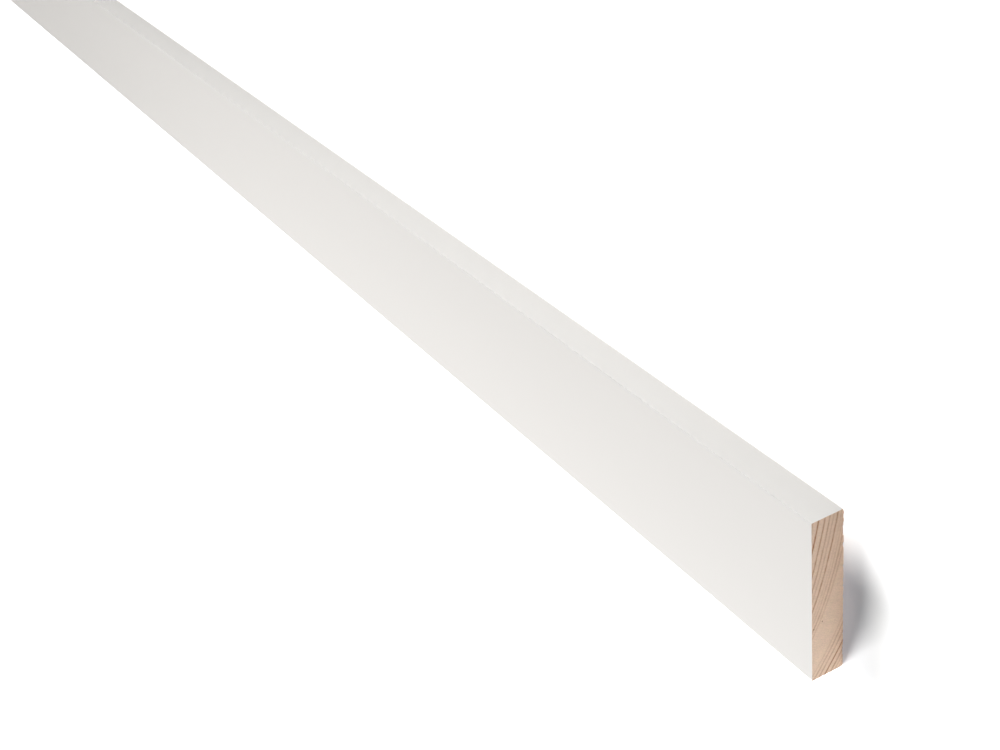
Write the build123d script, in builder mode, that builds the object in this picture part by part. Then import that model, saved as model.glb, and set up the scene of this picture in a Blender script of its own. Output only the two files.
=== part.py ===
from build123d import *
import os

# Flat moulding: one length of planed softwood, painted white on its face and long edges, with
# square sawn ends. It lies on its back. X runs along the length, Y across the width and Z
# through the thickness, out of the painted face. The origin is the middle of the back face.
# Units are millimetres.

# Stock size
length = 2400.0
width = 60.0
thickness = 12.0

# Easing of the long edges: crisp on the painted face, rounder at the back
face_arris_radius = 0.4
back_arris_radius = 0.5

os.makedirs("parts", exist_ok=True)

# The section stands on the line of the back face and runs straight, half of the length each way
with BuildPart() as flat_moulding:
    with BuildSketch(Plane.YZ) as section:
        Rectangle(width, thickness, align=(Align.CENTER, Align.MIN))
        corners = section.vertices().group_by(Axis.Z)
        fillet(corners[0], radius=back_arris_radius)
        fillet(corners[-1], radius=face_arris_radius)
    extrude(amount=length / 2, both=True)

flat_moulding.part.label = "flat_moulding"
export_step(flat_moulding.part, "parts/flat_moulding.step")

size = flat_moulding.part.bounding_box().size
print(f"flat_moulding {size.X:.1f} x {size.Y:.1f} x {size.Z:.1f} mm")
print(f"volume {flat_moulding.part.volume / 1000:.1f} cm3")
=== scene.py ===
"""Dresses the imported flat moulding: one length of white-painted pine with bare sawn ends, on a pale floor.

The file is laid out as an add-on and is run as a script. All lengths are in metres, in the
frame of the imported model: X along the length, Y across the width, Z out of the painted face.
"""

import math

import bpy
import numpy as np
from bpy.props import FloatProperty, FloatVectorProperty, IntProperty, PointerProperty
from mathutils import Matrix, Vector


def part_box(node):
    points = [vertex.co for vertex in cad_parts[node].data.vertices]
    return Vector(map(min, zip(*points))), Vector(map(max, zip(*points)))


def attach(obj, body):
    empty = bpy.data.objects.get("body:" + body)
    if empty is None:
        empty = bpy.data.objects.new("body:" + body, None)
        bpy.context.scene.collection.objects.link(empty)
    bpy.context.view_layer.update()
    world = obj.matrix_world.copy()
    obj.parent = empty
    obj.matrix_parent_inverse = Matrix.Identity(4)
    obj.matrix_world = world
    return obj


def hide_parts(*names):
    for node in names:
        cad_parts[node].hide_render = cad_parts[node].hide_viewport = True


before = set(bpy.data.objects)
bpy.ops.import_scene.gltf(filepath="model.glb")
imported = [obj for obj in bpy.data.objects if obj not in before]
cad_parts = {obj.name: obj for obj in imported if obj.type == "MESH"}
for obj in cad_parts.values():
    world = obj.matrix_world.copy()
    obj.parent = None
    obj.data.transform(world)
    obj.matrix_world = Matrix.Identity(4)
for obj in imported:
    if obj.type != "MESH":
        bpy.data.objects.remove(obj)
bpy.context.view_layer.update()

bl_info = {
    "name": "Flat moulding",
    "version": (1, 0, 0),
    "blender": (4, 5, 0),
    "location": "3D View > Sidebar > Moulding",
    "description": "Builds the painted moulding with its sawn ends, and a plain studio round it",
    "category": "Add Mesh",
}

MM = 0.001
NODE = "flat_moulding"
LOW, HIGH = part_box(NODE)

LENGTH = HIGH.x - LOW.x
WIDTH = HIGH.y - LOW.y
THICKNESS = HIGH.z - LOW.z


def arris_radius(level):
    """Radius of the two arrises at a level in Z: half the width, less how far the flat there reaches."""
    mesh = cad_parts[NODE].data
    places = np.empty(len(mesh.vertices) * 3)
    mesh.vertices.foreach_get("co", places)
    places = places.reshape(-1, 3)
    near_enough = 0.01 * MM
    flat = np.abs(places[:, 2] - level) < near_enough
    return HIGH.y - places[flat, 1].max()


FACE_ARRIS = arris_radius(HIGH.z)
BACK_ARRIS = arris_radius(LOW.z)
# The paint builds up on the two arrises of the face and leaves them crisper than the wood below. Over this
# radius the arrises are also painted whiter, a painted highlight
PAINT_ARRIS = 0.25 * FACE_ARRIS
# Points on the quarter circle of each back arris
ARC_POINTS = 13

# Growth rings, seen on the near end. The pith lies outside the board, at this place in Y and Z.
PITH_Y = 48.0 * MM
PITH_Z = 117.7 * MM
# The rings aren't quite round: across the width they wander in and out by these amounts
WANDER_SINE = 0.33 * MM
WANDER_COSINE = -0.2 * MM
WANDER_PERIOD = 60.0 * MM
# Smooth noise moves the rings in the materials by half of this either way, in cells of these sizes
WOBBLE = 0.35 * MM
WOBBLE_CELL = (160 * MM, 5 * MM, 5 * MM)
# Each ring's dark line, as its distance from the pith in millimetres, with how dark it is
RINGS = (
    (107.9, 0.4), (110.0, 1.0), (112.4, 0.7), (114.2, 0.55), (115.6, 0.35), (117.1, 0.75),
    (118.5, 0.2), (119.5, 0.3), (120.7, 0.5), (121.9, 0.3), (130.6, 0.25), (132.0, 0.45),
    (133.6, 0.5), (135.5, 0.95), (137.4, 0.7), (138.7, 0.3), (140.0, 0.4), (141.4, 0.5),
)
RING_START = 107.0
RING_END = 143.0
# A line fades to nothing this far to either side of its middle, in millimetres
LINE_REACH = 0.5
# Two resin canals that the cut opened, as places in Y and Z, and how large their dots are
CANALS = ((-8.3 * MM, 8.0 * MM), (-9.9 * MM, 11.3 * MM))
CANAL_CORE = 0.15 * MM
CANAL_EDGE = 0.4 * MM

# Marks of the cut: scratches along a slanting line, and cells of raised fibre
SCRATCH_SLANT = math.radians(24.0)
SCRATCH_LENGTH = 14.0 * MM
SCRATCH_WIDTH = 0.5 * MM
FUZZ_CELL = 0.33 * MM
# Shares of the cut's roughness, one in all
CRUSHED_SHARE = 0.42
SCRATCH_SHARE = 0.22
FUZZ_SHARE = 0.36

# Fibres torn out of the back arris at a cut, in ragged and fine cells, are worst round one place
RAGGED_CELL = 1.3 * MM
FINE_CELL = 0.45 * MM
TEAR_WORST = 19.0 * MM
TEAR_SPREAD = 9.0 * MM
# The tear fades to nothing this far up the end, and its hollow under the back this far up and along
TEAR_HEIGHT = 1.1 * MM
HOLLOW_HEIGHT = 1.3 * MM
HOLLOW_LENGTH = 2.4 * MM

# Sections crowd together near the cuts, at these distances from them, and are even further in
CLOSE_SECTIONS = np.array([0.0, 0.3, 0.7, 1.3, 2.5, 6.0, 20.0]) * MM
EVEN_SECTIONS_FROM = 50 * MM

# Finish of a face, as the number of its material
PAINTED, SAWN, PLANED = range(3)

# The photograph's camera: its place and what it looks at, from the middle of the near end's foot
CAMERA_STAND = Vector((281.48, 302.71, 243.62)) * MM
CAMERA_AIM = Vector((-213.30, -24.53, 0.0)) * MM
CAMERA_ROLL = math.radians(7.10)
SENSOR_WIDTH = 36.0

FLOOR_REACH = 12.0
# The floor's patch that keeps the cut's shadow: how far it reaches past the near end and short of
# it, its two sides in Y, and how wide its soft edge is
PATCH_PAST = 12 * MM
PATCH_SHORT = 4 * MM
PATCH_LOW_Y = -22 * MM
PATCH_HIGH_Y = 2 * MM
PATCH_FADE = 30 * MM
# In the patch, a cool glow next to the cut turns to a neutral one this far from it
GLOW_AT_CUT = (0.002, 0.040, 0.092, 1.0)
GLOW_PAST = (0.024, 0.032, 0.032, 1.0)
GLOW_REACH = 16 * MM
WHITE = (1.0, 1.0, 1.0, 1.0)


def linear(colour):
    """An sRGB hex colour such as 'EDEAE6' as linear red, green, blue and an alpha of one."""
    parts = [int(colour[i:i + 2], 16) / 255 for i in (0, 2, 4)]
    return tuple(p / 12.92 if p <= 0.04045 else ((p + 0.055) / 1.055) ** 2.4 for p in parts) + (1.0,)


class MouldingSettings(bpy.types.PropertyGroup):
    """What a user would change about the moulding's finish."""

    paint: FloatVectorProperty(
        name="Paint", description="Colour of the satin paint", subtype="COLOR", size=4,
        min=0.0, max=1.0, default=linear("EDEAE6"),
    )
    earlywood: FloatVectorProperty(
        name="Earlywood", description="Colour of the pale part of each ring", subtype="COLOR", size=4,
        min=0.0, max=1.0, default=linear("EACFBA"),
    )
    latewood: FloatVectorProperty(
        name="Latewood", description="Colour of the dark line that ends each ring", subtype="COLOR",
        size=4, min=0.0, max=1.0, default=linear("A6704C"),
    )
    grid_step: FloatProperty(
        name="Grid step", description="Distance between the points on the sawn ends", unit="LENGTH",
        min=0.1 * MM, max=2 * MM, default=0.2 * MM, precision=5,
    )
    stations: IntProperty(
        name="Stations", description="How many sections the long faces are drawn through",
        min=8, max=120, default=48,
    )
    cut_roughness: FloatProperty(
        name="Cut roughness", description="How far the saw's marks reach into the ends", unit="LENGTH",
        min=0.0, max=0.5 * MM, default=0.12 * MM, precision=5,
    )
    tear_out: FloatProperty(
        name="Tear-out", description="How far fibres are torn out of the back arris at a cut",
        unit="LENGTH", min=0.0, max=1 * MM, default=0.4 * MM, precision=5,
    )


class StudioSettings(bpy.types.PropertyGroup):
    """The light and the camera."""

    key_power: FloatProperty(
        name="Key", description="Power of the low softbox behind the lower long edge", unit="POWER",
        min=0.0, max=5000.0, default=290.0,
    )
    key_turn: FloatProperty(
        name="Key turn", description="Way the key's light travels, turned from +X towards +Y",
        subtype="ANGLE", min=-math.pi, max=math.pi, default=math.radians(62.5),
    )
    key_height: FloatProperty(
        name="Key height", description="Height of the key above the floor", subtype="ANGLE",
        min=0.0, max=math.pi / 2, default=math.radians(19),
    )
    fill_power: FloatProperty(
        name="Fill", description="Power of the softbox beside the camera", unit="POWER",
        min=0.0, max=5000.0, default=161.0,
    )
    fill_turn: FloatProperty(
        name="Fill turn", description="Way the fill's light travels, turned from +X towards +Y",
        subtype="ANGLE", min=-math.pi, max=math.pi, default=math.radians(-120),
    )
    fill_height: FloatProperty(
        name="Fill height", description="Height of the fill above the floor", subtype="ANGLE",
        min=0.0, max=math.pi / 2, default=math.radians(7),
    )
    far_power: FloatProperty(
        name="Far pair", description="Power of each of the two softboxes for the far half", unit="POWER",
        min=0.0, max=5000.0, default=400.0,
    )
    world_strength: FloatProperty(
        name="Surroundings", description="Light from all round", min=0.0, max=2.0, default=0.12,
    )
    lens: FloatProperty(
        name="Lens", description="Focal length, in millimetres on a 36 mm wide picture",
        min=10.0, max=200.0, default=55.75,
    )


# Surfaces


def lattice_noise(across, along, seed):
    """Smooth noise from -1 to 1 at places given in cells of a lattice.

    Random values stand on whole numbers, and a place between four of them takes their
    mix, weighted by three times the square less twice the cube of how far across it lies.
    """
    cells = 256
    table = np.random.default_rng(seed).uniform(-1.0, 1.0, (cells + 1, cells + 1))
    left = np.floor(across).astype(int)
    below = np.floor(along).astype(int)
    part_x = across - left
    part_y = along - below
    part_x = part_x * part_x * (3.0 - 2.0 * part_x)
    part_y = part_y * part_y * (3.0 - 2.0 * part_y)
    x0 = left % cells
    y0 = below % cells
    low = table[x0, y0] * (1.0 - part_x) + table[x0 + 1, y0] * part_x
    high = table[x0, y0 + 1] * (1.0 - part_x) + table[x0 + 1, y0 + 1] * part_x
    return low * (1.0 - part_y) + high * part_y


def ring_radius(across, up):
    """Distance from the pith, plus the wander: a sine and a cosine of the place across the width."""
    turn = 2 * math.pi * across / WANDER_PERIOD
    wander = WANDER_SINE * np.sin(turn) + WANDER_COSINE * np.cos(turn)
    return np.hypot(across - PITH_Y, up - PITH_Z) + wander


def latewood_at(radius):
    """How much latewood there is at a distance from the pith.

    It is the largest, over the rings, of the line's darkness times one less the distance
    from its middle, as a share of the line's reach.
    """
    found = np.zeros_like(radius)
    for middle, darkness in RINGS:
        share = np.clip(1.0 - np.abs(radius / MM - middle) / LINE_REACH, 0.0, 1.0)
        found = np.maximum(found, darkness * share)
    return found


def section_columns(step):
    """Places across the width: even steps on the flats, and even turns round the two back arrises."""
    reach = WIDTH / 2 - BACK_ARRIS
    flat = np.linspace(-reach, reach, max(2, round(2 * reach / step)) + 1)
    turns = np.linspace(0.0, math.pi / 2, ARC_POINTS)[1:]
    outside = reach + BACK_ARRIS * np.sin(turns)
    return np.concatenate([-outside[::-1], flat, outside])


def arc_drop(across, radius):
    """How far an arris of this radius has dropped from its flat, at places across the width.

    Inside the flat it is nothing. Past it, it is the radius less the root of the radius
    squared less the distance past the flat squared.
    """
    past = np.clip(np.abs(across) - (WIDTH / 2 - radius), 0.0, radius)
    return radius - np.sqrt(radius * radius - past * past)


def tear_depth(across, sign):
    """How deep fibres are torn out of the back arris, from 0 to 1, along the width of an end.

    Ragged noise, half as much fine noise and a small constant taken off are cut off below
    nothing. A bell curve round the worst place then takes them from a quarter to the whole.
    Each end reads the noise along rows of its own.
    """
    ragged = lattice_noise(across / RAGGED_CELL, np.full_like(across, 3.0 + sign), 11)
    fine = lattice_noise(across / FINE_CELL, np.full_like(across, 7.0 + sign), 12)
    bell = np.exp(-(((across - TEAR_WORST * sign) / TEAR_SPREAD) ** 2))
    return np.clip(ragged + 0.5 * fine - 0.15, 0.0, 1.0) * (0.25 + 0.75 * bell)


def cut_depth(across, up, sign, settings):
    """How far each point of a sawn end lies behind the plane of the cut.

    Latewood stands proud and earlywood is crushed, so its part is one less the latewood.
    The saw adds straight scratches, as noise stretched along a slanting line, and raised
    fibres add a fine grain of noise. The sum is scaled by the cut's roughness. The torn
    fibres are added to it, one and a half times the tear-out at most, and fade upwards.
    """
    crushed = 1.0 - latewood_at(ring_radius(across, up))
    along = across * math.cos(SCRATCH_SLANT) + up * math.sin(SCRATCH_SLANT)
    beside = up * math.cos(SCRATCH_SLANT) - across * math.sin(SCRATCH_SLANT)
    scratch = lattice_noise(along / SCRATCH_LENGTH, beside / SCRATCH_WIDTH, 21)
    fuzz = lattice_noise(across / FUZZ_CELL, up / FUZZ_CELL, 22)
    depth = CRUSHED_SHARE * crushed
    depth += SCRATCH_SHARE * (scratch + 1.0) / 2
    depth += FUZZ_SHARE * (fuzz + 1.0) / 2
    torn = tear_depth(across, sign) * np.clip(1.0 - up / TEAR_HEIGHT, 0.0, 1.0)
    return settings.cut_roughness * depth + 1.5 * settings.tear_out * torn


def hollow(across, up, from_cut, sign, settings):
    """How far the torn fibres leave the back hollow, at a distance along the board from the cut.

    It is four fifths of the tear-out at most, times the tear's depth, and fades evenly with
    the height above the back and with the distance from the cut.
    """
    upwards = np.clip(1.0 - up / HOLLOW_HEIGHT, 0.0, 1.0)
    inwards = max(0.0, 1.0 - from_cut / HOLLOW_LENGTH)
    return 0.8 * settings.tear_out * tear_depth(across, sign) * upwards * inwards


def end_grid(settings):
    """Places in Y and Z of a sawn end's points, in columns across the width.

    Each column is divided evenly, from the outline's back to its face.
    """
    columns = section_columns(settings.grid_step)
    rows = round(THICKNESS / settings.grid_step)
    share = np.linspace(0.0, 1.0, rows + 1)
    back_line = arc_drop(columns, BACK_ARRIS)
    face_line = THICKNESS - arc_drop(columns, PAINT_ARRIS)
    across = np.repeat(columns[:, None], rows + 1, axis=1)
    up = back_line[:, None] + (face_line - back_line)[:, None] * share[None, :]
    return across, up


def section_places(settings):
    """Places along X of the sections, from the near cut to the far one."""
    reach = LENGTH / 2 - EVEN_SECTIONS_FROM
    even = np.linspace(-reach, reach, settings.stations)
    return np.concatenate([LENGTH / 2 - CLOSE_SECTIONS, even[::-1], CLOSE_SECTIONS[::-1] - LENGTH / 2])


def end_points(across, up, sign, settings):
    """The points of a sawn end: behind the plane of the cut, and lifted where the back is hollow."""
    along = sign * (LENGTH / 2 - cut_depth(across, up, sign, settings))
    lifted = up + hollow(across, up, 0.0, sign, settings)
    return np.stack([along, across, lifted], axis=2).reshape(-1, 3)


def section_points(place, rim_y, rim_z, settings):
    """The points round the outline at a place along X, lifted where the back is hollow."""
    from_cut = LENGTH / 2 - abs(place)
    lifted = rim_z + hollow(rim_y, rim_z, from_cut, math.copysign(1.0, place), settings)
    return np.stack([np.full(len(rim_y), place), rim_y, lifted], axis=1)


def cell_corners(grid):
    """What a grid holds at the four corners of each of its cells, one cell after another."""
    corners = np.stack([grid[:-1, :-1], grid[1:, :-1], grid[1:, 1:], grid[:-1, 1:]], axis=2)
    return corners.reshape(-1, 4, *grid.shape[2:])


def moulding_mesh(settings):
    """The board as one closed mesh, with its bake map and the finish of each face.

    Each end is a grid. The outline of that grid, carried from one end to the other through
    sections, makes the long faces, so ends and faces share their points.
    """
    across, up = end_grid(settings)
    places = section_places(settings)
    number = np.arange(across.size).reshape(across.shape)
    rim = np.concatenate([
        number[:-1, 0],
        number[-1, :-1],
        number[:0:-1, -1],
        number[0, :0:-1],
    ])
    rim_y = across.ravel()[rim]
    rim_z = up.ravel()[rim]
    sections = [section_points(place, rim_y, rim_z, settings) for place in places[1:-1]]
    points = np.concatenate([
        end_points(across, up, 1.0, settings),
        *sections,
        end_points(across, up, -1.0, settings),
    ])

    # Numbers of the points round each section, from the near cut to the far one
    between = np.arange(len(sections) * len(rim)).reshape(len(sections), len(rim))
    far_start = number.size + between.size
    loops = np.concatenate([rim[None, :], number.size + between, far_start + rim[None, :]])

    # Faces of the ends, seen from outside, and of the long sides
    near_faces = cell_corners(number)
    far_faces = far_start + near_faces[:, ::-1]
    here = loops[:-1]
    there = loops[1:]
    long_faces = np.stack(
        [here, there, np.roll(there, -1, axis=1), np.roll(here, -1, axis=1)], axis=2
    ).reshape(-1, 4)
    faces = np.concatenate([near_faces, far_faces, long_faces])

    # The planed back reaches two fifths of the way up its arrises, and the paint starts there
    is_back = (rim_z + np.roll(rim_z, -1)) / 2 < 0.4 * BACK_ARRIS
    finish = np.concatenate([
        np.full(len(near_faces) + len(far_faces), SAWN),
        np.tile(np.where(is_back, PLANED, PAINTED), len(places) - 1),
    ])
    return points, faces, finish, bake_layout(across, up, rim_y, rim_z, places)


def bake_layout(across, up, rim_y, rim_z, places):
    """A place on the unit square for each corner of each face, for the baked colours.

    Each end is a wide band along the top, because its rings are the finest pattern. The
    long sides, unrolled from one corner of the outline, take four bands of equal length
    below, one under the other.
    """
    margin = 0.006
    end_height = 0.2
    strips = 4
    strip_height = (1.0 - 2 * end_height - (strips + 3) * margin) / strips

    u = margin + (across / WIDTH + 0.5) * (1 - 2 * margin)
    v = up / THICKNESS * (end_height - margin)
    near_band = cell_corners(np.stack([u, 1.0 - end_height + v], axis=2))
    far_band = cell_corners(np.stack([u, 1.0 - 2 * end_height + v], axis=2))[:, ::-1]

    step = np.hypot(np.roll(rim_y, -1) - rim_y, np.roll(rim_z, -1) - rim_z)
    run = np.concatenate([[0.0], np.cumsum(step)])
    run /= run[-1]
    along = (places[0] - places) / (places[0] - places[-1]) * strips
    middle = (along[:-1] + along[1:]) / 2
    strip = np.clip(middle.astype(int), 0, strips - 1)
    base = margin + strip * (strip_height + margin)
    shape = (len(strip), len(step))
    u_start = np.broadcast_to(margin + (along[:-1] - strip)[:, None] * (1 - 2 * margin), shape)
    u_stop = np.broadcast_to(margin + (along[1:] - strip)[:, None] * (1 - 2 * margin), shape)
    v_left = base[:, None] + run[None, :-1] * strip_height
    v_right = base[:, None] + run[None, 1:] * strip_height
    long_bands = np.stack([
        np.stack([u_start, v_left], axis=2),
        np.stack([u_stop, v_left], axis=2),
        np.stack([u_stop, v_right], axis=2),
        np.stack([u_start, v_right], axis=2),
    ], axis=2).reshape(-1, 4, 2)
    return np.clip(np.concatenate([near_band, far_band, long_bands]), 0.0, 1.0)


def add_mesh(name, points, faces):
    """Put arrays of points and four-cornered faces into a new object at the origin."""
    mesh = bpy.data.meshes.new(name)
    mesh.vertices.add(len(points))
    mesh.vertices.foreach_set("co", points.astype(np.float32).ravel())
    mesh.loops.add(faces.size)
    mesh.loops.foreach_set("vertex_index", faces.astype(np.int32).ravel())
    mesh.polygons.add(len(faces))
    mesh.polygons.foreach_set("loop_start", np.arange(0, faces.size, 4, dtype=np.int32))
    mesh.update(calc_edges=True)
    mesh.validate()
    made = bpy.data.objects.new(name, mesh)
    bpy.context.scene.collection.objects.link(made)
    return made


# Materials


def add_node(tree, kind, settings=None, inputs=None):
    """Add a shader node with its own settings. An input is a value, a socket or a node's first output."""
    made = tree.nodes.new(kind)
    for name, value in (settings or {}).items():
        setattr(made, name, value)
    for name, value in (inputs or {}).items():
        socket = made.inputs[name]
        if isinstance(value, bpy.types.Node):
            value = value.outputs[0]
        if isinstance(value, bpy.types.NodeSocket):
            tree.links.new(value, socket)
        else:
            socket.default_value = value
    return made


def new_material(name):
    """An empty material with its output, its Principled shader and the piece's own coordinates."""
    material = bpy.data.materials.new(name)
    material.use_nodes = True
    tree = material.node_tree
    tree.nodes.clear()
    shader = add_node(tree, "ShaderNodeBsdfPrincipled")
    add_node(tree, "ShaderNodeOutputMaterial", inputs={"Surface": shader})
    place = add_node(tree, "ShaderNodeTexCoord").outputs["Object"]
    return material, tree, shader, place


def stretched_noise(tree, place, cell, detail=2.0, offset=(0.0, 0.0, 0.0)):
    """Noise from 0 to 1 whose cells have these sizes in metres along X, Y and Z."""
    scale = tuple(1.0 / size for size in cell)
    mapped = add_node(
        tree, "ShaderNodeMapping", inputs={"Vector": place, "Scale": scale, "Location": offset}
    )
    return add_node(
        tree, "ShaderNodeTexNoise",
        inputs={"Vector": mapped, "Scale": 1.0, "Detail": detail, "Roughness": 0.5},
    )


def section_place(tree, place):
    """The place in the board's section: Y and Z, as the first two of three coordinates."""
    parts = add_node(tree, "ShaderNodeSeparateXYZ", inputs={0: place})
    return add_node(
        tree, "ShaderNodeCombineXYZ", inputs={"X": parts.outputs["Y"], "Y": parts.outputs["Z"]}
    )


def pith_distance(tree, place):
    """Distance from the pith, plus the wander across the width and a wobble along the length."""
    section = section_place(tree, place)
    radius = add_node(
        tree, "ShaderNodeVectorMath", {"operation": "DISTANCE"}, {0: section, 1: (PITH_Y, PITH_Z, 0.0)}
    ).outputs["Value"]
    parts = add_node(tree, "ShaderNodeSeparateXYZ", inputs={0: section})
    turn = add_node(
        tree, "ShaderNodeMath", {"operation": "MULTIPLY"},
        {0: parts.outputs["X"], 1: 2 * math.pi / WANDER_PERIOD},
    )
    for wave, amount in (("SINE", WANDER_SINE), ("COSINE", WANDER_COSINE)):
        swing = add_node(tree, "ShaderNodeMath", {"operation": wave}, {0: turn})
        radius = add_node(
            tree, "ShaderNodeMath", {"operation": "MULTIPLY_ADD"}, {0: swing, 1: amount, 2: radius}
        )
    noise = stretched_noise(tree, place, WOBBLE_CELL)
    wobble = add_node(tree, "ShaderNodeMath", {"operation": "SUBTRACT"}, {0: noise, 1: 0.5})
    return add_node(
        tree, "ShaderNodeMath", {"operation": "MULTIPLY_ADD"}, {0: wobble, 1: WOBBLE, 2: radius}
    )


def latewood_lines(tree, radius):
    """Latewood, from 0 to 1, at a distance from the pith: a curve that peaks at each ring's dark line."""
    share = add_node(
        tree, "ShaderNodeMapRange", {"clamp": False},
        {"Value": radius, "From Min": RING_START * MM, "From Max": RING_END * MM},
    )
    curve = add_node(tree, "ShaderNodeFloatCurve", inputs={"Value": share})
    line = curve.mapping.curves[0]
    line.points[1].location = (1.0, 0.0)
    last = 0.0
    for middle, darkness in RINGS:
        for at, height in ((middle - LINE_REACH, 0.0), (middle, darkness), (middle + LINE_REACH, 0.0)):
            spot = (at - RING_START) / (RING_END - RING_START)
            if spot > last:
                added = line.points.new(spot, height)
                added.handle_type = "VECTOR"
                last = spot
    curve.mapping.update()
    return curve


def earlywood_colour(tree, place, settings):
    """Earlywood, which drifts between pinkish and yellowish in cells of 3 mm."""
    drift = stretched_noise(tree, place, (3.0 * MM, 3.0 * MM, 3.0 * MM), offset=(3.0, 1.0, 2.0))
    drifting = add_node(
        tree, "ShaderNodeMix", {"data_type": "RGBA"},
        {"Factor": drift, 6: linear("EFCCBB"), 7: linear("E6D0B0")},
    )
    early = add_node(
        tree, "ShaderNodeMix", {"data_type": "RGBA"},
        {"Factor": 0.6, 6: tuple(settings.earlywood), 7: drifting.outputs[2]},
    )
    return early.outputs[2]


def ray_noise(tree, place, radius):
    """Wood rays: noise in cells 0.3 mm wide and 2.5 mm long, which point away from the pith.

    The way round the pith is turned into a length at 120 mm from it, about the middle of the end.
    Real rays are a tenth as wide, and these are as coarse as they need to be to show.
    """
    away = add_node(
        tree, "ShaderNodeVectorMath", {"operation": "SUBTRACT"},
        {0: section_place(tree, place), 1: (PITH_Y, PITH_Z, 0.0)},
    )
    parts = add_node(tree, "ShaderNodeSeparateXYZ", inputs={0: away})
    around = add_node(
        tree, "ShaderNodeMath", {"operation": "ARCTAN2"}, {0: parts.outputs["X"], 1: parts.outputs["Y"]}
    )
    across_rays = add_node(tree, "ShaderNodeMath", {"operation": "MULTIPLY"}, {0: around, 1: 120.0 / 0.3})
    along_rays = add_node(tree, "ShaderNodeMath", {"operation": "DIVIDE"}, {0: radius, 1: 2.5 * MM})
    cells = add_node(tree, "ShaderNodeCombineXYZ", inputs={"X": across_rays, "Y": along_rays})
    return add_node(
        tree, "ShaderNodeTexNoise", {"noise_dimensions": "2D"},
        {"Vector": cells, "Scale": 1.0, "Detail": 1.0},
    )


def canal_dots(tree, place):
    """The resin canals: how much of a dot there is at a place, full in its core and fading to its edge."""
    section = section_place(tree, place)
    dots = 0.0
    for across, up in CANALS:
        away = add_node(
            tree, "ShaderNodeVectorMath", {"operation": "DISTANCE"}, {0: section, 1: (across, up, 0.0)}
        )
        dot = add_node(
            tree, "ShaderNodeMapRange",
            inputs={
                "Value": away.outputs["Value"], "From Min": CANAL_CORE, "From Max": CANAL_EDGE,
                "To Min": 0.7, "To Max": 0.0,
            },
        )
        dots = add_node(tree, "ShaderNodeMath", {"operation": "MAXIMUM"}, {0: dots, 1: dot})
    return dots


def end_grain(tree, place, settings):
    """Colour of pine end grain, and its fine unevenness.

    Dark lines of latewood, fainter where the cut smeared them, lie on earlywood. The wood is
    darker towards the heart and uneven in cells of 5 mm and 0.3 mm and along the rays. Its
    fibres are ten times finer than the finest cells, which are as coarse as they need to be
    to show. The resin canals are brown dots.
    """
    radius = pith_distance(tree, place)
    smear = stretched_noise(tree, place, (2.2 * MM, 2.2 * MM, 2.2 * MM), detail=3.0)
    kept = add_node(
        tree, "ShaderNodeMapRange",
        inputs={"Value": smear, "From Min": 0.3, "From Max": 0.65, "To Min": 0.72, "To Max": 1.12},
    )
    lines = add_node(
        tree, "ShaderNodeMath", {"operation": "MULTIPLY", "use_clamp": True},
        {0: latewood_lines(tree, radius), 1: kept},
    )
    ringed = add_node(
        tree, "ShaderNodeMix", {"data_type": "RGBA"},
        {"Factor": lines, 6: earlywood_colour(tree, place, settings), 7: tuple(settings.latewood)},
    )
    dotted = add_node(
        tree, "ShaderNodeMix", {"data_type": "RGBA"},
        {"Factor": canal_dots(tree, place), 6: ringed.outputs[2], 7: linear("7E5238")},
    )
    tone = add_node(
        tree, "ShaderNodeMapRange",
        inputs={"Value": radius, "From Min": 110 * MM, "From Max": 120 * MM, "To Min": 0.91, "To Max": 1.01},
    )
    mottle = stretched_noise(tree, place, (5.0 * MM, 5.0 * MM, 5.0 * MM))
    speck = stretched_noise(tree, place, (0.3 * MM, 0.3 * MM, 0.3 * MM))
    for noise, amount in ((mottle, 0.14), (speck, 0.42), (ray_noise(tree, place, radius), 0.16)):
        centred = add_node(tree, "ShaderNodeMath", {"operation": "SUBTRACT"}, {0: noise, 1: 0.5})
        tone = add_node(
            tree, "ShaderNodeMath", {"operation": "MULTIPLY_ADD"}, {0: centred, 1: amount, 2: tone}
        )
    colour = add_node(
        tree, "ShaderNodeVectorMath", {"operation": "SCALE"}, {0: dotted.outputs[2], "Scale": tone}
    )
    return colour, speck


def painted_arris_highlight(tree, place):
    """One on the two arrises of the face, where a whiter colour paints a highlight, and nothing elsewhere.

    It is the product of two ramps, beside the flat and above it, over the outer part of the arris.
    """
    parts = add_node(tree, "ShaderNodeSeparateXYZ", inputs={0: place})
    sideways = add_node(tree, "ShaderNodeMath", {"operation": "ABSOLUTE"}, {0: parts.outputs["Y"]})
    ramps = [
        add_node(
            tree, "ShaderNodeMapRange",
            inputs={"Value": value, "From Min": edge - PAINT_ARRIS, "From Max": edge - 0.7 * PAINT_ARRIS},
        )
        for value, edge in ((sideways, WIDTH / 2), (parts.outputs["Z"], THICKNESS))
    ]
    return add_node(tree, "ShaderNodeMath", {"operation": "MULTIPLY"}, {0: ramps[0], 1: ramps[1]})


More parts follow.
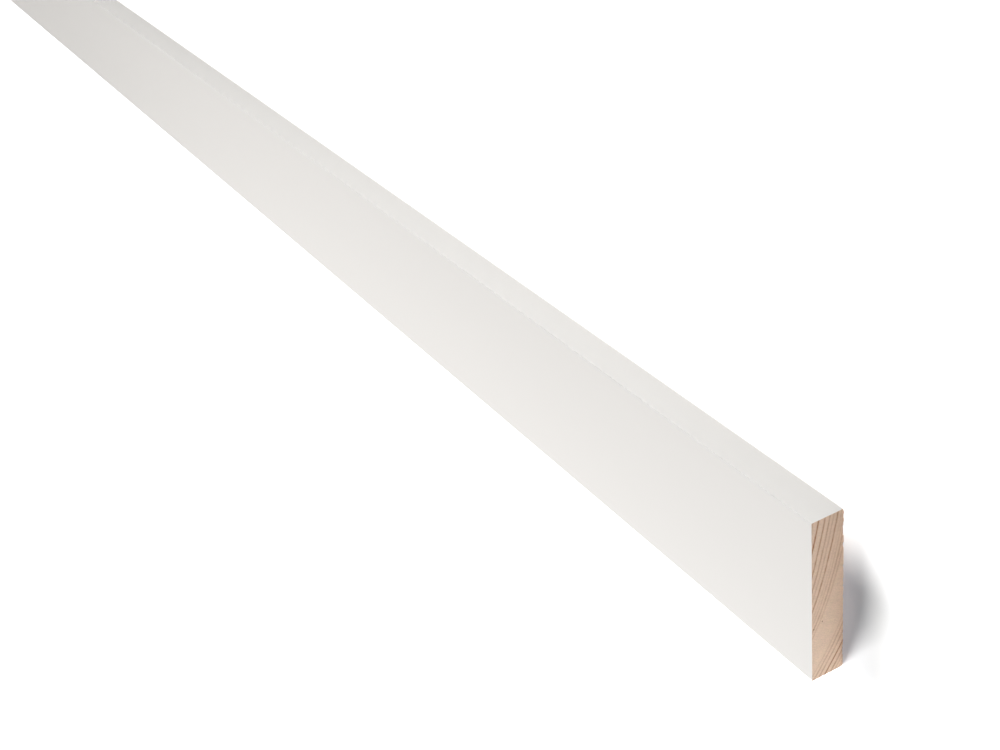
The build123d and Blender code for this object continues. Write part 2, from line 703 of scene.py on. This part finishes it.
def paint_material(settings):
    """Satin acrylic paint, sprayed on planed pine: an even white that dulls reflections to a soft sheen.

    The eye gets a clean flat white, a faint orange peel where light grazes it and, more
    faintly still, the long grain of the wood below. The arrises of the face are painted whiter,
    a painted highlight, and glossier, so that no dark line of shade parts the face from the edges.
    """
    material, tree, shader, place = new_material("satin_paint_on_pine")
    peel = stretched_noise(tree, place, (1.6 * MM, 1.3 * MM, 1.3 * MM))
    grain = stretched_noise(tree, place, (90 * MM, 0.9 * MM, 0.9 * MM), detail=3.0)
    cloud = stretched_noise(tree, place, (240 * MM, 40 * MM, 40 * MM))
    height = add_node(
        tree, "ShaderNodeMath", {"operation": "MULTIPLY_ADD"}, {0: grain, 1: 0.6, 2: peel}
    )
    bump = add_node(
        tree, "ShaderNodeBump", inputs={"Height": height, "Strength": 0.15, "Distance": 0.012 * MM}
    )
    tone = add_node(
        tree, "ShaderNodeMapRange",
        inputs={"Value": cloud, "From Min": 0.3, "From Max": 0.7, "To Min": 0.992, "To Max": 1.0},
    )
    arris = painted_arris_highlight(tree, place)
    # A whiter colour on the arrises of the face: a painted highlight over the shade of their curve
    white = add_node(
        tree, "ShaderNodeMix", {"data_type": "RGBA"},
        {"Factor": arris, 6: tuple(settings.paint), 7: linear("FCFAF7")},
    )
    colour = add_node(
        tree, "ShaderNodeVectorMath", {"operation": "SCALE"}, {0: white.outputs[2], "Scale": tone}
    )
    tree.links.new(colour.outputs[0], shader.inputs["Base Color"])
    shader.inputs["Roughness"].default_value = 0.75
    shader.inputs["IOR"].default_value = 1.47
    shader.inputs["Specular IOR Level"].default_value = 0.15
    tree.links.new(arris.outputs[0], shader.inputs["Coat Weight"])
    shader.inputs["Coat Roughness"].default_value = 0.4
    shader.inputs["Coat IOR"].default_value = 1.9
    tree.links.new(bump.outputs[0], shader.inputs["Normal"])
    return material


def sawn_material(settings):
    """Pine end grain, cross-cut with a fine circular saw: matt, with dull earlywood and crisp latewood."""
    material, tree, shader, place = new_material("sawn_pine_end_grain")
    colour, speck = end_grain(tree, place, settings)
    bump = add_node(
        tree, "ShaderNodeBump", inputs={"Height": speck, "Strength": 0.4, "Distance": 0.05 * MM}
    )
    tree.links.new(colour.outputs[0], shader.inputs["Base Color"])
    shader.inputs["Roughness"].default_value = 0.85
    shader.inputs["IOR"].default_value = 1.5
    shader.inputs["Specular IOR Level"].default_value = 0.3
    tree.links.new(bump.outputs[0], shader.inputs["Normal"])
    return material


def back_material(settings):
    """Pine planed by a moulder and left bare: smooth, a little glossy, with long lines of latewood."""
    material, tree, shader, place = new_material("planed_bare_pine")
    rings = latewood_lines(tree, pith_distance(tree, place))
    fibre = stretched_noise(tree, place, (60 * MM, 0.5 * MM, 0.5 * MM), detail=3.0)
    ringed = add_node(
        tree, "ShaderNodeMix", {"data_type": "RGBA"},
        {"Factor": rings, 6: tuple(settings.earlywood), 7: tuple(settings.latewood)},
    )
    tone = add_node(
        tree, "ShaderNodeMath", {"operation": "MULTIPLY_ADD"}, {0: fibre, 1: 0.16, 2: 0.92}
    )
    colour = add_node(
        tree, "ShaderNodeVectorMath", {"operation": "SCALE"}, {0: ringed.outputs[2], "Scale": tone}
    )
    bump = add_node(
        tree, "ShaderNodeBump", inputs={"Height": fibre, "Strength": 0.3, "Distance": 0.02 * MM}
    )
    tree.links.new(colour.outputs[0], shader.inputs["Base Color"])
    shader.inputs["Roughness"].default_value = 0.7
    shader.inputs["Specular IOR Level"].default_value = 0.3
    tree.links.new(bump.outputs[0], shader.inputs["Normal"])
    return material


class BuildMoulding(bpy.types.Operator):
    """Build the painted board with its sawn ends in place of the plain solid"""

    bl_idname = "moulding.build_board"
    bl_label = "Painted moulding"

    def execute(self, context):
        settings = context.scene.moulding_settings
        points, faces, finish, corner_uv = moulding_mesh(settings)
        board = add_mesh("painted_moulding", points, faces)
        mesh = board.data
        if len(mesh.polygons) != len(faces):
            raise RuntimeError("the board's mesh lost faces when it was checked")
        mesh.materials.append(paint_material(settings))
        mesh.materials.append(sawn_material(settings))
        mesh.materials.append(back_material(settings))
        mesh.polygons.foreach_set("material_index", finish.astype(np.int32))
        mesh.polygons.foreach_set("use_smooth", np.ones(len(faces), bool))
        mesh.set_sharp_from_angle(angle=math.radians(50))
        layer = mesh.uv_layers.new(name="OFBake")
        layer.uv.foreach_set("vector", corner_uv.astype(np.float32).ravel())
        mesh.update()
        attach(board, "root")
        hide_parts(NODE)
        return {"FINISHED"}


class BuildStudio(bpy.types.Operator):
    """Lay the floor, hang the lights and set the camera up"""

    bl_idname = "moulding.build_studio"
    bl_label = "Studio"

    def execute(self, context):
        settings = context.scene.studio_settings
        lay_floor()
        hang_lights(settings)
        light_surroundings(settings)
        place_camera(settings)
        context.scene.view_settings.view_transform = "Standard"
        return {"FINISHED"}


def background_rays(tree):
    """One for camera, glossy and transmission rays, which show the background, and nothing for the rest."""
    path = add_node(tree, "ShaderNodeLightPath")
    shown = path.outputs["Is Camera Ray"]
    for kind in ("Is Glossy Ray", "Is Transmission Ray"):
        shown = add_node(
            tree, "ShaderNodeMath", {"operation": "MAXIMUM"}, {0: shown, 1: path.outputs[kind]}
        )
    return shown


def past_patch(tree, place):
    """How far a place on the floor lies past the patch by the near end, and nothing inside it.

    It is the length of what the distance from the patch's middle, taken along X and along Y,
    has over half the patch's size.
    """
    low = Vector((HIGH.x - PATCH_SHORT, PATCH_LOW_Y, 0.0))
    high = Vector((HIGH.x + PATCH_PAST, PATCH_HIGH_Y, 0.0))
    from_middle = add_node(
        tree, "ShaderNodeVectorMath", {"operation": "SUBTRACT"}, {0: place, 1: (low + high) / 2}
    )
    either_side = add_node(tree, "ShaderNodeVectorMath", {"operation": "ABSOLUTE"}, {0: from_middle})
    over = add_node(
        tree, "ShaderNodeVectorMath", {"operation": "SUBTRACT"}, {0: either_side, 1: (high - low) / 2}
    )
    outside = add_node(
        tree, "ShaderNodeVectorMath", {"operation": "MAXIMUM"}, {0: over, 1: (0.0, 0.0, 0.0)}
    )
    away = add_node(tree, "ShaderNodeVectorMath", {"operation": "LENGTH"}, {0: outside})
    return away.outputs["Value"]


def floor_material():
    """Matt white paint that shows as pure white, but for a soft patch that keeps the cut's shadow.

    In the patch the lamps light the floor, and a faint cool glow, which fades away from the cut,
    makes up for the warm light that the bare wood throws into the shadow. Past the patch, the
    floor glows more with the distance from it, for the rays that show the background.
    """
    material = bpy.data.materials.new("white_floor")
    material.use_nodes = True
    tree = material.node_tree
    tree.nodes.clear()
    diffuse = add_node(tree, "ShaderNodeBsdfDiffuse", inputs={"Color": (0.98, 0.98, 0.98, 1.0)})
    place = add_node(tree, "ShaderNodeTexCoord").outputs["Object"]
    past = add_node(
        tree, "ShaderNodeMapRange", {"interpolation_type": "SMOOTHSTEP"},
        {"Value": past_patch(tree, place), "From Min": 0.0, "From Max": PATCH_FADE},
    )
    parts = add_node(tree, "ShaderNodeSeparateXYZ", inputs={0: place})
    from_cut = add_node(
        tree, "ShaderNodeMapRange",
        inputs={"Value": parts.outputs["X"], "From Min": HIGH.x, "From Max": HIGH.x + GLOW_REACH},
    )
    inside = add_node(
        tree, "ShaderNodeMix", {"data_type": "RGBA"}, {"Factor": from_cut, 6: GLOW_AT_CUT, 7: GLOW_PAST}
    )
    colour = add_node(
        tree, "ShaderNodeMix", {"data_type": "RGBA"}, {"Factor": past, 6: inside.outputs[2], 7: WHITE}
    )
    glow = add_node(
        tree, "ShaderNodeEmission", inputs={"Color": colour.outputs[2], "Strength": background_rays(tree)}
    )
    both = add_node(tree, "ShaderNodeAddShader", inputs={0: diffuse, 1: glow})
    add_node(tree, "ShaderNodeOutputMaterial", inputs={"Surface": both})
    return material


def lay_floor():
    """A square floor at the level of the board's back."""
    corners = FLOOR_REACH * np.array([[-1, -1, 0], [1, -1, 0], [1, 1, 0], [-1, 1, 0]])
    floor = add_mesh("studio_floor", corners, np.array([[0, 1, 2, 3]]))
    floor.data.materials.append(floor_material())


def add_softbox(name, power, turn, height, end, distance, half_width, cone, aim, colour=(1.0, 1.0, 1.0)):
    """A round softbox whose light travels at a turn from +X towards +Y, and down from a height.

    It stands the distance back from an end of the board, given by its X, and the middle of its
    cone meets the floor at the aim, along X from that end. Its light falls off to nothing at the
    edge of the cone. The colour is linear red, green and blue.
    """
    travel = Vector((
        math.cos(height) * math.cos(turn),
        math.cos(height) * math.sin(turn),
        -math.sin(height),
    ))
    lamp = bpy.data.lights.new(name, "SPOT")
    lamp.energy = power
    lamp.color = colour
    lamp.spot_size = cone
    lamp.spot_blend = 1.0
    lamp.shadow_soft_size = half_width
    made = bpy.data.objects.new(name, lamp)
    foot = Vector((end, 0.0, 0.0))
    made.location = foot - distance * travel
    facing = foot + Vector((aim, 0.0, 0.0)) - made.location
    made.rotation_euler = facing.to_track_quat("-Z", "Y").to_euler()
    bpy.context.scene.collection.objects.link(made)


def hang_lights(settings):
    """A low key from beyond the lower long edge and a fill beside the camera.

    They light the near end, and the fill is a touch cooler than the rest. A second pair, higher and
    further off, carries on from them along the rest of the length, one from either side.
    """
    add_softbox(
        "key", settings.key_power, settings.key_turn, settings.key_height, HIGH.x,
        distance=1.8, half_width=0.38, cone=math.radians(90), aim=0.31,
    )
    add_softbox(
        "fill", settings.fill_power, settings.fill_turn, settings.fill_height, HIGH.x,
        distance=2.0, half_width=0.15, cone=math.radians(52), aim=-0.75, colour=(0.98, 0.992, 1.0),
    )
    far = {
        "power": settings.far_power, "height": math.radians(30), "end": LOW.x, "distance": 3.4,
        "half_width": 0.38,
    }
    add_softbox("far_key", turn=math.radians(117.5), cone=math.radians(52.4), aim=0.56, **far)
    add_softbox("far_fill", turn=math.radians(-52), cone=math.radians(25), aim=0.35, **far)


def light_surroundings(settings):
    """A sky that shows as pure white and gives a weak light from all round."""
    world = bpy.data.worlds.new("studio_world")
    bpy.context.scene.world = world
    world.use_nodes = True
    tree = world.node_tree
    tree.nodes.clear()
    strength = add_node(
        tree, "ShaderNodeMath", {"operation": "MAXIMUM"},
        {0: background_rays(tree), 1: settings.world_strength},
    )
    sky = add_node(tree, "ShaderNodeBackground", inputs={"Color": WHITE, "Strength": strength})
    add_node(tree, "ShaderNodeOutputWorld", inputs={"Surface": sky})


def place_camera(settings):
    """The photograph's camera: where it stands from the near end, what it looks at and how it is rolled.

    Its upward side is the board's +Y, made square to the line of sight and then rolled.
    """
    near_end = Vector((HIGH.x, 0.0, 0.0))
    stand = near_end + CAMERA_STAND
    aim = near_end + CAMERA_AIM
    sight = (aim - stand).normalized()
    across = Vector((0.0, 1.0, 0.0))
    upward = (across - across.dot(sight) * sight).normalized()
    upward = Matrix.Rotation(CAMERA_ROLL, 3, sight) @ upward
    right = sight.cross(upward)
    lens = bpy.data.cameras.new("camera")
    lens.lens = settings.lens
    lens.sensor_width = SENSOR_WIDTH
    lens.clip_start = 0.01
    lens.clip_end = 100.0
    camera = bpy.data.objects.new("camera", lens)
    turned = Matrix((right, upward, -sight)).transposed().to_4x4()
    camera.matrix_world = Matrix.Translation(stand) @ turned
    bpy.context.scene.collection.objects.link(camera)
    bpy.context.scene.camera = camera


class MouldingPanel(bpy.types.Panel):
    """Everything this file builds, in the sidebar"""

    bl_idname = "VIEW3D_PT_moulding"
    bl_label = "Flat moulding"
    bl_space_type = "VIEW_3D"
    bl_region_type = "UI"
    bl_category = "Moulding"

    def draw(self, context):
        layout = self.layout
        board = context.scene.moulding_settings
        studio = context.scene.studio_settings
        for name in board.__annotations__:
            layout.prop(board, name)
        layout.operator(BuildMoulding.bl_idname)
        for name in studio.__annotations__:
            layout.prop(studio, name)
        layout.operator(BuildStudio.bl_idname)


CLASSES = (MouldingSettings, StudioSettings, BuildMoulding, BuildStudio, MouldingPanel)


def register():
    """Register the classes and hang their settings on the scene."""
    for cls in CLASSES:
        bpy.utils.register_class(cls)
    bpy.types.Scene.moulding_settings = PointerProperty(type=MouldingSettings)
    bpy.types.Scene.studio_settings = PointerProperty(type=StudioSettings)


def unregister():
    """Take everything off again."""
    del bpy.types.Scene.studio_settings
    del bpy.types.Scene.moulding_settings
    for cls in reversed(CLASSES):
        bpy.utils.unregister_class(cls)


def main():
    """Build everything in order."""
    register()
    bpy.ops.moulding.build_studio()
    bpy.ops.moulding.build_board()


if __name__ == "__main__":
    main()
